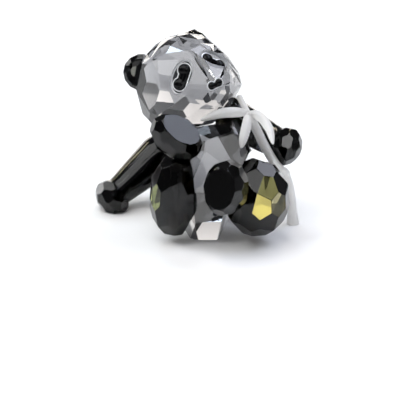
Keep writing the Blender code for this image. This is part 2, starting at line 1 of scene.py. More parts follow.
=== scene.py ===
"""Looks of a cut-crystal panda figurine that holds a frosted bamboo branch.

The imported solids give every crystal's facets. This script refines them: it rounds each arris by
a hair, cuts low stars into the crown, dishes the ears, lays foil in the eyes' pockets, turns the
branch and the stones into soft cast forms, and gives each crystal its glass. Lengths are metres
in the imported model's frame; MM turns millimetres. The panda's own left is +X, its front is -Y.
"""
import logging
import math
from dataclasses import dataclass, field
from enum import Enum
from typing import Any, Callable

import bmesh
import bpy
from mathutils import Matrix, Vector


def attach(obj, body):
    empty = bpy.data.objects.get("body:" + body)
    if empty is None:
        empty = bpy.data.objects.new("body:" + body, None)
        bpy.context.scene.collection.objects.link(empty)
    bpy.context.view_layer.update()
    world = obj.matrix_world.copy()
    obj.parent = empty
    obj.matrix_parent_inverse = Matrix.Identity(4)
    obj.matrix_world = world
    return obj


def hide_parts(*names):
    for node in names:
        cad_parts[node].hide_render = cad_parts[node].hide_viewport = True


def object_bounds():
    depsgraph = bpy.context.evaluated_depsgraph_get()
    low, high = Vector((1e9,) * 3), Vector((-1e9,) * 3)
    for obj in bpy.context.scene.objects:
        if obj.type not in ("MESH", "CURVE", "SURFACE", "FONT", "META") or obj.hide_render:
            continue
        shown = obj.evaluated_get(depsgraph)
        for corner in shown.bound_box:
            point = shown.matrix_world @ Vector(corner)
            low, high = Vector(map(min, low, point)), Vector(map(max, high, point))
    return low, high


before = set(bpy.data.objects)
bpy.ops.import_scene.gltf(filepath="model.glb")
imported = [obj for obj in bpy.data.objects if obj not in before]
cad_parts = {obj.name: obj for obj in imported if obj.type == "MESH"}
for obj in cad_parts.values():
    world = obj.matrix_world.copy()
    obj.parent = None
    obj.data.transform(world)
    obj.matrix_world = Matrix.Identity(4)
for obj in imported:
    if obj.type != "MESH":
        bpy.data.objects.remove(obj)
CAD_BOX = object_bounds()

LOG = logging.getLogger("panda_figurine")
BODY = "root"
MM = 0.001
WELD = 0.002 * MM
TIP_WELD = 0.01 * MM
FLAT_ANGLE = 0.4
CUT_SLACK = 1e-7
TRANSMISSION_BOUNCES = 24
ALL_BOUNCES = 32


class Slot(Enum):
    """The record's material slots."""

    CLEAR = "clear_crystal"
    SMOKY = "smoky_crystal"
    FROSTED = "frosted_crystal"
    BLACK = "black_glass"


def linear(code: str) -> tuple[float, float, float, float]:
    """Turn an sRGB hex colour into linear values.

    Args:
        code: Six hex digits, with or without a leading hash.

    Returns:
        Red, green, blue and an alpha of one.
    """
    digits = code.lstrip("#")
    shares = [int(digits[at:at + 2], 16) / 255 for at in (0, 2, 4)]
    return (*(s / 12.92 if s <= 0.04045 else ((s + 0.055) / 1.055) ** 2.4 for s in shares), 1.0)


def add_node(tree: bpy.types.NodeTree, kind: str, settings: dict[str, Any] | None = None,
             links: dict[str, bpy.types.NodeSocket] | None = None) -> bpy.types.Node:
    """Add a node with its settings and links.

    Args:
        tree: The node tree that gets the node.
        kind: The node's type name.
        settings: Properties and input values by name.
        links: Output sockets by the name of the input that each one feeds.

    Returns:
        The new node.
    """
    node = tree.nodes.new(kind)
    for name, value in (settings or {}).items():
        if name in node.inputs:
            node.inputs[name].default_value = value
        else:
            setattr(node, name, value)
    for name, socket in (links or {}).items():
        tree.links.new(socket, node.inputs[name])
    return node


def new_material(name: str) -> bpy.types.Material:
    """Start a material with an empty node tree.

    Args:
        name: The finish's common name.

    Returns:
        The new material.
    """
    material = bpy.data.materials.new(name)
    material.use_nodes = True
    material.node_tree.nodes.clear()
    return material


def skin_bump(tree: bpy.types.NodeTree, size: float, strength: float, depth: float,
              detail: float) -> bpy.types.NodeSocket:
    """Waves or grain that sit in a surface's skin.

    Args:
        tree: The material's node tree.
        size: Width of one wave or grain, in metres.
        strength: Share of the full relief.
        depth: Height of the full relief, in metres.
        detail: How many finer octaves the noise has.

    Returns:
        The normal that a shader reads.
    """
    place = add_node(tree, "ShaderNodeTexCoord")
    noise = add_node(tree, "ShaderNodeTexNoise", {"Scale": 1 / size, "Detail": detail},
                     {"Vector": place.outputs["Object"]})
    bump = add_node(tree, "ShaderNodeBump", {"Strength": strength, "Distance": depth},
                    {"Height": noise.outputs["Fac"]})
    return bump.outputs["Normal"]


@dataclass(frozen=True)
class PolishedCrystal:
    """Lead crystal, cut on a wheel and polished: sharp, bright, a trace of polishing waves."""

    name: str
    tint: tuple[float, float, float]
    density: float
    colour: str = "#fcfcfd"
    ior: float = 1.58
    roughness: float = 0.004
    wave: float = 3.5 * MM
    wave_strength: float = 0.012
    wave_depth: float = 0.1 * MM
    wave_detail: float = 2.0

    def material(self) -> bpy.types.Material:
        """Build the glass, with absorption inside it where it has a density."""
        material = new_material(self.name)
        tree = material.node_tree
        normal = skin_bump(tree, self.wave, self.wave_strength, self.wave_depth,
                           self.wave_detail)
        shader = add_node(tree, "ShaderNodeBsdfPrincipled",
                          {"Base Color": linear(self.colour), "Roughness": self.roughness,
                           "IOR": self.ior, "Transmission Weight": 1.0}, {"Normal": normal})
        links = {"Surface": shader.outputs["BSDF"]}
        if self.density:
            inside = add_node(tree, "ShaderNodeVolumeAbsorption",
                              {"Color": (*self.tint, 1.0), "Density": self.density})
            links["Volume"] = inside.outputs["Volume"]
        add_node(tree, "ShaderNodeOutputMaterial", None, links)
        return material


@dataclass(frozen=True)
class FrostedCrystal:
    """Acid-etched crystal: a silky, milky skin over clear glass, paler at its rims."""

    name: str = "acid-etched crystal"
    colour: str = "#f6f5f3"
    sheen: float = 0.8
    sheen_roughness: float = 0.2
    ior: float = 1.48
    roughness: float = 0.30
    clearness: float = 0.40
    grain: float = 0.25 * MM
    grain_strength: float = 0.10
    grain_depth: float = 0.05 * MM
    grain_detail: float = 3.0

    def material(self) -> bpy.types.Material:
        """Build the etched glass: fine grain, and a sheen that makes its rims pale."""
        material = new_material(self.name)
        tree = material.node_tree
        normal = skin_bump(tree, self.grain, self.grain_strength, self.grain_depth,
                           self.grain_detail)
        shader = add_node(tree, "ShaderNodeBsdfPrincipled",
                          {"Base Color": linear(self.colour), "Roughness": self.roughness,
                           "IOR": self.ior, "Transmission Weight": self.clearness,
                           "Sheen Weight": self.sheen, "Sheen Roughness": self.sheen_roughness},
                          {"Normal": normal})
        add_node(tree, "ShaderNodeOutputMaterial", None, {"Surface": shader.outputs["BSDF"]})
        return material


@dataclass(frozen=True)
class JetGlass:
    """Jet-black pressed glass, fire-polished: opaque, with a wet shine."""

    name: str = "jet-black pressed glass"
    colour: str = "#030304"
    roughness: float = 0.03
    ior: float = 1.50
    shine: float = 0.18
    ripple: float = 1.2 * MM
    ripple_strength: float = 0.03
    ripple_depth: float = 0.05 * MM
    ripple_detail: float = 1.0

    def material(self) -> bpy.types.Material:
        """Build the opaque black glass with faint ripples in its skin."""
        material = new_material(self.name)
        tree = material.node_tree
        normal = skin_bump(tree, self.ripple, self.ripple_strength, self.ripple_depth,
                           self.ripple_detail)
        shader = add_node(tree, "ShaderNodeBsdfPrincipled",
                          {"Base Color": linear(self.colour), "Roughness": self.roughness,
                           "IOR": self.ior, "Specular IOR Level": self.shine},
                          {"Normal": normal})
        add_node(tree, "ShaderNodeOutputMaterial", None, {"Surface": shader.outputs["BSDF"]})
        return material


@dataclass(frozen=True)
class Silvering:
    """Silver foil under the stones and in their pockets: bright, with a soft uneven shine."""

    name: str = "silver foil"
    colour: str = "#f4f5f7"
    roughness: float = 0.30
    metallic: float = 0.50
    grain: float = 0.6 * MM
    grain_strength: float = 0.15
    grain_depth: float = 0.05 * MM
    grain_detail: float = 2.0

    def material(self) -> bpy.types.Material:
        """Build the foil, which shows the grinding wheel's faint marks under it."""
        material = new_material(self.name)
        tree = material.node_tree
        normal = skin_bump(tree, self.grain, self.grain_strength, self.grain_depth,
                           self.grain_detail)
        shader = add_node(tree, "ShaderNodeBsdfPrincipled",
                          {"Base Color": linear(self.colour), "Roughness": self.roughness,
                           "Metallic": self.metallic}, {"Normal": normal})
        add_node(tree, "ShaderNodeOutputMaterial", None, {"Surface": shader.outputs["BSDF"]})
        return material


# Clear crystal greys a little with its thickness, so that facets part into light and dark ones.
CLEAR = PolishedCrystal("polished lead crystal", (0.50, 0.50, 0.51), 60.0)
# The dark crystals look black where they are thick and olive where they are thin.
SMOKY = PolishedCrystal("smoky black crystal", (0.66, 0.63, 0.20), 1300.0, ior=1.42)
DEEP = PolishedCrystal("deep black crystal", (0.60, 0.60, 0.46), 2400.0, ior=1.42)
INK = PolishedCrystal("inky black crystal", (0.46, 0.50, 0.40), 4500.0, ior=1.45)
# The pale ones are painted light. Single facets get a clear tinted glass with no absorption, so
# they glow as if light were shining through the dark crystal there.
AMBER_PAINTED_LIGHT = PolishedCrystal("smoky crystal with painted light, amber", (1.0, 1.0, 1.0), 0.0, "#b79c28", 1.42)
STRAW_PAINTED_LIGHT = PolishedCrystal("smoky crystal with painted light, straw", (1.0, 1.0, 1.0), 0.0, "#b3a659", 1.42)
BRONZE_PAINTED_LIGHT = PolishedCrystal("smoky crystal with painted light, bronze", (1.0, 1.0, 1.0), 0.0, "#55501c", 1.42)
OLIVE_PAINTED_LIGHT = PolishedCrystal("smoky crystal with painted light, olive", (1.0, 1.0, 1.0), 0.0, "#93a43f", 1.42)
ASH_PAINTED_LIGHT = PolishedCrystal("smoky crystal with painted light, ash", (1.0, 1.0, 1.0), 0.0, "#2c2c26", 1.42)
FROSTED = FrostedCrystal()
JET = JetGlass()
SILVER = Silvering()
# The smoked foil keeps the pocket dark round the stone, so that the bright rims part from it.
PEWTER = Silvering("smoked silver foil", "#24262b", 0.40, 0.2)


def make_object(mesh: bmesh.types.BMesh, name: str) -> bpy.types.Object:
    """Turn a mesh into a linked object.

    Args:
        mesh: The finished mesh. It is freed.
        name: The object's name.

    Returns:
        The new object.
    """
    data = bpy.data.meshes.new(name)
    mesh.to_mesh(data)
    mesh.free()
    made = bpy.data.objects.new(name, data)
    bpy.context.scene.collection.objects.link(made)
    return made


def piece_from(mesh: bmesh.types.BMesh, name: str, materials: list[bpy.types.Material], node: str,
               smooth_angle: float | None = None) -> bpy.types.Object:
    """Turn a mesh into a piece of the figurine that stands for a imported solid.

    Args:
        mesh: The finished mesh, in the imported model's frame. It is freed.
        name: The piece's name.
        materials: Its finishes, in the order of its faces' material numbers.
        node: The solid that it stands for.
        smooth_angle: Degrees past which an edge between smooth faces stays sharp, or None.

    Returns:
        The new object.
    """
    bmesh.ops.recalc_face_normals(mesh, faces=mesh.faces)
    piece = make_object(mesh, name)
    if smooth_angle is not None:
        smooth = [face.use_smooth for face in piece.data.polygons]
        piece.data.set_sharp_from_angle(angle=math.radians(smooth_angle))
        piece.data.polygons.foreach_set("use_smooth", smooth)
    for material in materials:
        piece.data.materials.append(material)
    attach(piece, BODY)
    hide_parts(node)
    return piece


def facets_of(node: str) -> bmesh.types.BMesh:
    """Copy a solid, merge its loose triangles and join those that share a facet.

    Args:
        node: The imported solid's name.

    Returns:
        A closed mesh with one face for each facet.
    """
    mesh = bmesh.new()
    mesh.from_mesh(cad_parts[node].data)
    bmesh.ops.remove_doubles(mesh, verts=mesh.verts, dist=WELD)
    bmesh.ops.dissolve_limit(mesh, angle_limit=math.radians(FLAT_ANGLE), verts=mesh.verts,
                             edges=mesh.edges)
    return mesh


def seat_of(node: str) -> tuple[Vector, Vector]:
    """Find the flat back of a stone, by which it is glued on.

    Args:
        node: The stone's solid.

    Returns:
        The back's centre, and the direction that points out of the face.
    """
    mesh = facets_of(node)
    back = max(mesh.faces, key=lambda face: face.calc_area())
    centre, normal = back.calc_center_median(), back.normal.copy()
    mesh.free()
    return centre, -normal


def cast_form(mesh: bmesh.types.BMesh, voxel: float, rounds: int) -> bmesh.types.BMesh:
    """Fuse overlapping shells into one skin and soften it, as a casting's surface is.

    Args:
        mesh: Closed shells in metres. It is freed.
        voxel: The new skin's grid, in metres.
        rounds: How often the skin is smoothed.

    Returns:
        The fused mesh in metres.
    """
    bmesh.ops.scale(mesh, verts=mesh.verts, vec=(1 / MM, 1 / MM, 1 / MM))
    guide = make_object(mesh, "casting")
    fuse = guide.modifiers.new("Fuse", "REMESH")
    fuse.mode = "VOXEL"
    fuse.voxel_size = voxel / MM
    evaluated = guide.evaluated_get(bpy.context.evaluated_depsgraph_get())
    fused = bmesh.new()
    fused.from_mesh(bpy.data.meshes.new_from_object(evaluated))
    bpy.data.objects.remove(guide, do_unlink=True)
    for _ in range(rounds):
        bmesh.ops.smooth_vert(fused, verts=fused.verts, factor=0.5, use_axis_x=True,
                              use_axis_y=True, use_axis_z=True)
    bmesh.ops.scale(fused, verts=fused.verts, vec=(MM, MM, MM))
    return fused


@dataclass
class CutCrystal:
    """A crystal whose flat facets meet in fine polished arrises.

    Edges that turn by less than the sharp angle get no arris. Where there is a smooth angle, the
    faces beside such edges are shaded as one round surface.
    """

    node: str
    materials: list[bpy.types.Material]
    slot: Slot
    arris: float = 0.11 * MM
    sharp: float = 8.0
    smooth_angle: float | None = None

    def build(self) -> bpy.types.Object:
        """Copy the facets, round the arrises and hand over the piece."""
        mesh = facets_of(self.node)
        self.shape(mesh)
        limit = math.radians(self.sharp)
        for face in mesh.faces:
            face.smooth = (self.smooth_angle is not None
                           and any(edge.calc_face_angle() < limit for edge in face.edges))
        edges = [edge for edge in mesh.edges if edge.calc_face_angle() > limit]
        bmesh.ops.bevel(mesh, geom=edges, offset=self.arris, segments=2, profile=0.5,
                        affect="EDGES", material=-1, clamp_overlap=True)
        self.dress(mesh)
        return piece_from(mesh, f"{self.node}_crystal", self.materials, self.node,
                          self.smooth_angle)

    def shape(self, mesh: bmesh.types.BMesh) -> None:
        """Add what the solid leaves out; a plain crystal adds nothing."""

    def dress(self, mesh: bmesh.types.BMesh) -> None:
        """Give faces their finish; a plain crystal has one finish all over."""


@dataclass(frozen=True)
class StarPatch:
    """A patch of facets that are cut once more, each into a low star.

    It holds the facets that look its way by more than the lean, a cosine, and are larger than
    the least area. The rise is a share of a facet's radius.
    """

    way: tuple[float, float, float]
    lean: float
    least_area: float
    rise: float


@dataclass
class Head(CutCrystal):
    """The head: star facets on the crown, and foil in the ground pockets that hold the eyes."""

    eyes: tuple[str, ...] = ("right_eye", "left_eye")
    pocket_reach: float = 8.6 * MM
    wall_lean: float = 0.12
    glue: float = 0.3 * MM
    floor_reach: float = 0.08 * MM
    ring_width: float = 0.55 * MM
    crown: StarPatch = StarPatch((0.0, 0.0, 1.0), 0.60, 14.0 * MM * MM, 0.17)
    cheek: StarPatch = StarPatch((1.0, 0.0, 0.0), 0.45, 30.0 * MM * MM, 0.06)
    plain_side: float = -6.0 * MM

    def shape(self, mesh: bmesh.types.BMesh) -> None:
        """Cut the patches' facets into stars and draw the foil rings in the pockets.

        Args:
            mesh: The head's facets.
        """
        for patch in (self.crown, self.cheek):
            mesh.normal_update()
            notched = [face for face in self.facets_in(mesh, patch)
                       if face.calc_center_median().x > self.plain_side
                       and not all(loop.is_convex for loop in face.loops)]
            bmesh.ops.connect_verts_concave(mesh, faces=notched)
            stars = [face for face in self.facets_in(mesh, patch)
                     if all(loop.is_convex for loop in face.loops)]
            bmesh.ops.poke(mesh, faces=stars, offset=patch.rise, center_mode="MEAN",
                           use_relative_offset=True)
        mesh.normal_update()
        for centre, axis in (seat_of(eye) for eye in self.eyes):
            floor = [face for face in mesh.faces if self.is_floor(face, centre, axis)]
            ring = bmesh.ops.inset_region(mesh, faces=floor, thickness=self.ring_width)["faces"]
            for face in ring:
                face.material_index = 1

    def facets_in(self, mesh: bmesh.types.BMesh, patch: StarPatch) -> list[bmesh.types.BMFace]:
        """List the facets that a patch holds.

        Args:
            mesh: The head's facets.
            patch: The patch.

        Returns:
            The facets that look its way and are large enough for a star.
        """
        way = Vector(patch.way)
        return [face for face in mesh.faces
                if face.normal.dot(way) > patch.lean and face.calc_area() > patch.least_area]

    def is_floor(self, face: bmesh.types.BMFace, centre: Vector, axis: Vector) -> bool:
        """Tell whether a face lies on the floor of the pocket behind a stone.

        Args:
            face: The face.
            centre: The centre of the stone's flat back.
            axis: The direction in which the stone looks out.

        Returns:
            True where the face is near the centre and a glue line below it.
        """
        offset = face.calc_center_median() - centre
        return (offset.length < self.pocket_reach
                and abs(offset.dot(axis) + self.glue) < self.floor_reach)

    def dress(self, mesh: bmesh.types.BMesh) -> None:
        """Lay bright foil on each pocket's walls and smoked foil on the rest of its floor.

        Args:
            mesh: The head with its arrises.
        """
        mesh.normal_update()
        for centre, axis in (seat_of(eye) for eye in self.eyes):
            for face in mesh.faces:
                if face.material_index:
                    continue
                if self.is_floor(face, centre, axis):
                    face.material_index = 2
                elif ((face.calc_center_median() - centre).length < self.pocket_reach
                      and abs(face.normal.dot(axis)) < self.wall_lean):
                    face.material_index = 1


@dataclass
class Thigh(CutCrystal):
    """A dark oval with a few facets in a paler tint. That tint is painted light, standing for
    light that shines through the dark crystal.
    """

    painted_light_places: tuple[tuple[float, float, float], ...] = ()
    least_facet: float = 0.22 * MM * MM

    def dress(self, mesh: bmesh.types.BMesh) -> None:
        """Give the facet nearest to each painted light place its own paler tinted glass, as
        painted light.

        Args:
            mesh: The thigh with its arrises.
        """
        broad = [face for face in mesh.faces if face.calc_area() > self.least_facet]
        for index, place in enumerate(self.painted_light_places, start=1):
            nearest = min(broad, key=lambda face: (face.calc_center_median()
                                                   - Vector(place) * MM).length)
            nearest.material_index = index


@dataclass
class Ear(CutCrystal):
    """An ear: a bevelled disc whose front is dished down to a small flat, and the flat has a paler
    glass as painted light.
    """

    rim_share: float = 0.86
    flat_share: float = 0.42
    dish: float = 0.45 * MM
    broad_sides: int = 3

    def shape(self, mesh: bmesh.types.BMesh) -> None:
        """Grind a rim and a dish into the side that looks forward.

        Args:
            mesh: The ear's facets.
        """
        mesh.normal_update()
        broad = sorted(mesh.faces, key=lambda face: -face.calc_area())[:self.broad_sides]
        front = min(broad, key=lambda face: face.normal.y)
        centre, inward = front.calc_center_median(), -front.normal
        for share, depth in ((self.rim_share, 0.0), (self.flat_share, self.dish)):
            bmesh.ops.inset_region(mesh, faces=[front], thickness=0.0)
            bmesh.ops.scale(mesh, verts=front.verts, vec=(share, share, share),
                            space=Matrix.Translation(-centre))
            bmesh.ops.translate(mesh, verts=front.verts, vec=inward * depth)
        # The small flat gets the pale ash glass: painted light for light shining through the ear's
        # thin middle.
        front.material_index = 1


@dataclass
class Stone:
    """An eye or the nose: a pressed peanut of jet-black glass with foil under its foot."""

    node: str
    materials: list[bpy.types.Material]
    voxel: float = 0.1 * MM
    rounds: int = 4
    smooth_angle: float = 50.0
    foil_width: float = 0.42 * MM
    foil_height: float = 0.30 * MM

    def build(self) -> bpy.types.Object:
        """Fire-polish the stone and lay its foil round the foot."""
        mesh = cast_form(facets_of(self.node), self.voxel, self.rounds)
        for face in mesh.faces:
            face.smooth = True
        foil = make_object(self.foil_rim(), "foil")
        mesh.from_mesh(foil.data)
        bpy.data.objects.remove(foil, do_unlink=True)
        return piece_from(mesh, f"{self.node}_stone", self.materials, self.node,
                          self.smooth_angle)

    def foil_rim(self) -> bmesh.types.BMesh:
        """Make the thin silver foot that shows as a bright line round the stone.

        Returns:
            A closed mesh whose faces have the foil's finish.
        """
        centre, axis = seat_of(self.node)
        mesh = cast_form(facets_of(self.node), self.voxel, self.rounds)
        mesh.normal_update()
        for vertex in mesh.verts:
            outward = vertex.normal - axis * vertex.normal.dot(axis)
            vertex.co += outward * self.foil_width
        cut = bmesh.ops.bisect_plane(mesh, geom=mesh.verts[:] + mesh.edges[:] + mesh.faces[:],
                                     dist=CUT_SLACK, plane_co=centre + axis * self.foil_height,
                                     plane_no=axis, clear_outer=True)
        rim = [item for item in cut["geom_cut"] if isinstance(item, bmesh.types.BMEdge)]
        bmesh.ops.edgeloop_fill(mesh, edges=rim)
        for face in mesh.faces:
            face.material_index = 1
        return mesh


def smooth_route(points: tuple[Vector, ...], steps: int) -> list[Vector]:
    """Read points from one smooth curve through a route's own points.

    Args:
        points: The route's points.
        steps: How many stretches the curve gets.

    Returns:
        The points along the curve, both ends included.
    """
    ends = [points[0] * 2 - points[1], *points, points[-1] * 2 - points[-2]]
    spans = len(points) - 1
    curve = []
    for step in range(steps + 1):
        along = spans * step / steps
        index = min(int(along), spans - 1)
        t = along - index
        a, b, c, d = ends[index:index + 4]
        curve.append(0.5 * ((2 * b) + (c - a) * t + (2 * a - 5 * b + 4 * c - d) * t * t
                            + (3 * b - 3 * c + d - a) * t ** 3))
    return curve


def sweep(route: list[Vector], facing: Vector, sides: int,
          section: Callable[[float, float], tuple[float, float]]) -> bmesh.types.BMesh:
    """Draw a closed section along a route, ring after ring.

    Args:
        route: The centres of the rings.
        facing: The direction that the section's front looks in.
        sides: Points round the section.
        section: Gives a point's place aside and forward from the share along and its angle.

    Returns:
        A closed mesh.
    """
    mesh = bmesh.new()
    angle = mesh.verts.layers.float.new("angle")
    ring = bmesh.ops.create_circle(mesh, cap_ends=False, segments=sides, radius=1.0)["verts"]
    for vertex in ring:
        vertex[angle] = math.atan2(vertex.co.y, vertex.co.x)
    edges = mesh.edges[:]
    last = len(route) - 1
    for step, centre in enumerate(route):
        if step:
            grown = bmesh.ops.extrude_edge_only(mesh, edges=edges)["geom"]
            ring = [item for item in grown if isinstance(item, bmesh.types.BMVert)]
            edges = [item for item in grown if isinstance(item, bmesh.types.BMEdge)
                     and all(end in set(ring) for end in item.verts)]
        forward = (route[min(step + 1, last)] - route[max(step - 1, 0)]).normalized()
        side = forward.cross(facing).normalized()
        front = side.cross(forward).normalized()
        for vertex in ring:
            aside, thick = section(step / last, vertex[angle])
            vertex.co = centre + side * aside + front * thick
    bmesh.ops.remove_doubles(mesh, verts=mesh.verts, dist=TIP_WELD)
    bmesh.ops.holes_fill(mesh, edges=[edge for edge in mesh.edges if edge.is_boundary], sides=0)
    bmesh.ops.recalc_face_normals(mesh, faces=mesh.faces)
    return mesh


@dataclass
class BambooBranch:
    """The etched branch: a twig to the mouth, three ridged leaves and a stem with a node."""

    material: bpy.types.Material
    joint: Vector = field(default_factory=lambda: Vector((15.2, -1.5, 47.8)) * MM)
    stem_way: tuple[tuple[float, float, float], ...] = (
        (18.6, -2.4, 41.5), (22.0, -3.0, 34.6), (26.6, -2.8, 26.6), (31.4, -2.4, 20.4),
        (33.6, -2.6, 11.0), (34.6, -2.0, 0.0))
    twig_way: tuple[tuple[float, float, float], ...] = ((13.55, 2.25, 50.1), (11.9, 6.0, 52.4))
    leaf_ways: tuple[tuple[tuple[float, float, float], ...], ...] = (
        ((10.2, -6.0, 49.4), (3.6, -8.6, 49.6), (-4.0, -8.6, 46.8)),
        ((14.8, -6.5, 44.8), (13.4, -10.5, 40.4), (12.4, -12.5, 36.4)),
        ((19.8, -5.0, 47.4), (23.2, -12.0, 44.6), (24.7, -18.5, 40.0)))
    leaf_facing: Vector = field(default_factory=lambda: Vector((0.25, -1.0, 0.35)))
    stem_radius: float = 1.9 * MM
    twig_radius: float = 1.25 * MM
    foot_radius: float = 2.7 * MM
    foot_gap: float = 0.02 * MM
    node_at: float = 0.62
    node_length: float = 0.014
    node_swell: float = 0.30
    flare_at: float = 0.86
    leaf_width: float = 5.0 * MM
    leaf_thickness: float = 1.9 * MM
    leaf_taper: float = 0.25
    leaf_round: float = 0.6
    leaf_tip_blunt: float = 0.5
    stem_steps: int = 160
    stem_sides: int = 32
    twig_steps: int = 20
    twig_sides: int = 24
    leaf_steps: int = 72
    leaf_sides: int = 40
    voxel: float = 0.17 * MM
    rounds: int = 2
    smooth_angle: float = 60.0

    def build(self) -> bpy.types.Object:
        """Fuse stem, twig and leaves into one etched casting."""
        mesh = self.stem()
        parts = [self.twig()] + [self.leaf(way) for way in self.leaf_ways]
        for index, part in enumerate(parts):
            guide = make_object(part, f"branch_part_{index}")
            mesh.from_mesh(guide.data)
            bpy.data.objects.remove(guide, do_unlink=True)
        cast = cast_form(mesh, self.voxel, self.rounds)
        for face in cast.faces:
            face.smooth = True
        return piece_from(cast, "bamboo_branch_casting", [self.material], "bamboo_branch",
                          self.smooth_angle)

    def way(self, points: tuple[tuple[float, float, float], ...], steps: int) -> list[Vector]:
        """Give the smooth route from the joint through points in millimetres."""
        return smooth_route((self.joint, *(Vector(point) * MM for point in points)), steps)

    def stem(self) -> bmesh.types.BMesh:
        """Draw the stem, with a swollen double ring at its node and a flared foot.

        Returns:
            A closed mesh, cut level at its foot.
        """
        def section(along: float, angle: float) -> tuple[float, float]:
            """Give a round section that swells at the node and at the foot."""
            swell = sum(math.exp(-((along - self.node_at - offset) / self.node_length) ** 2)
                        for offset in (-self.node_length, self.node_length)) * self.node_swell
            share = max(0.0, (along - self.flare_at) / (1 - self.flare_at))
            radius = self.stem_radius * (1 + swell)
            radius += (self.foot_radius - self.stem_radius) * share ** 2
            return math.cos(angle) * radius, math.sin(angle) * radius
        mesh = sweep(self.way(self.stem_way, self.stem_steps), self.leaf_facing,
                     self.stem_sides, section)
        cut = bmesh.ops.bisect_plane(mesh, geom=mesh.verts[:] + mesh.edges[:] + mesh.faces[:],
                                     dist=CUT_SLACK, plane_co=(0.0, 0.0, self.foot_gap),
                                     plane_no=(0.0, 0.0, -1.0), clear_outer=True)
        rim = [item for item in cut["geom_cut"] if isinstance(item, bmesh.types.BMEdge)]
        if rim:
            bmesh.ops.edgeloop_fill(mesh, edges=rim)
        return mesh

    def twig(self) -> bmesh.types.BMesh:
        """Draw the short twig that reaches the mouth."""
        def section(along: float, angle: float) -> tuple[float, float]:
            """Give a round section."""
            return math.cos(angle) * self.twig_radius, math.sin(angle) * self.twig_radius
        return sweep(self.way(self.twig_way, self.twig_steps), self.leaf_facing,
                     self.twig_sides, section)

    def leaf(self, points: tuple[tuple[float, float, float], ...]) -> bmesh.types.BMesh:
        """Draw one leaf: sharp rims, and a ridge down its middle.

        Args:
            points: The way of its midrib from the joint, in millimetres.

        Returns:
            A closed mesh.
        """
        def section(along: float, angle: float) -> tuple[float, float]:
            """Give a lens with a raised midrib."""
            across = math.cos(angle)
            fullness = 2 * math.sqrt(max(along * (1 - along), 0.0))
            width = self.leaf_width / 2 * fullness * (1 - self.leaf_taper * along)
            crest = (self.leaf_round * (1 - across * across)
                     + (1 - self.leaf_round) * (1 - abs(across)))
            thick = self.leaf_thickness / 2 * fullness ** self.leaf_tip_blunt * crest
            return across * width, math.copysign(thick, math.sin(angle))
        return sweep(self.way(points, self.leaf_steps), self.leaf_facing, self.leaf_sides,
                     section)


@dataclass(frozen=True)
class SoftBox:
    """One soft box on a stand, a metre away from the figurine, square unless told its height."""

    name: str
    azimuth: float
    elevation: float
    size: float
    radiance: float
    colour: str = "#ffffff"
    height: float | None = None
    distance: float = 1.0
    aim_height: float = 0.035

    def build(self) -> None:
        """Hang the box where azimuth 0 is the camera's side and 90 is the panda's left."""
        turn, rise = math.radians(self.azimuth), math.radians(self.elevation)
        way = Vector((math.sin(turn) * math.cos(rise), -math.cos(turn) * math.cos(rise),
                      math.sin(rise)))
        data = bpy.data.lights.new(self.name, "AREA")
        data.shape = "RECTANGLE"
        data.size = self.size
        data.size_y = self.height or self.size
        data.energy = self.radiance * math.pi * data.size * data.size_y
        data.color = linear(self.colour)[:3]
        light = bpy.data.objects.new(self.name, data)
        light.location = way * self.distance + Vector((0.0, 0.0, self.aim_height))
        light.rotation_euler = way.to_track_quat("Z", "Y").to_euler()
        light.visible_camera = False
        bpy.context.scene.collection.objects.link(light)


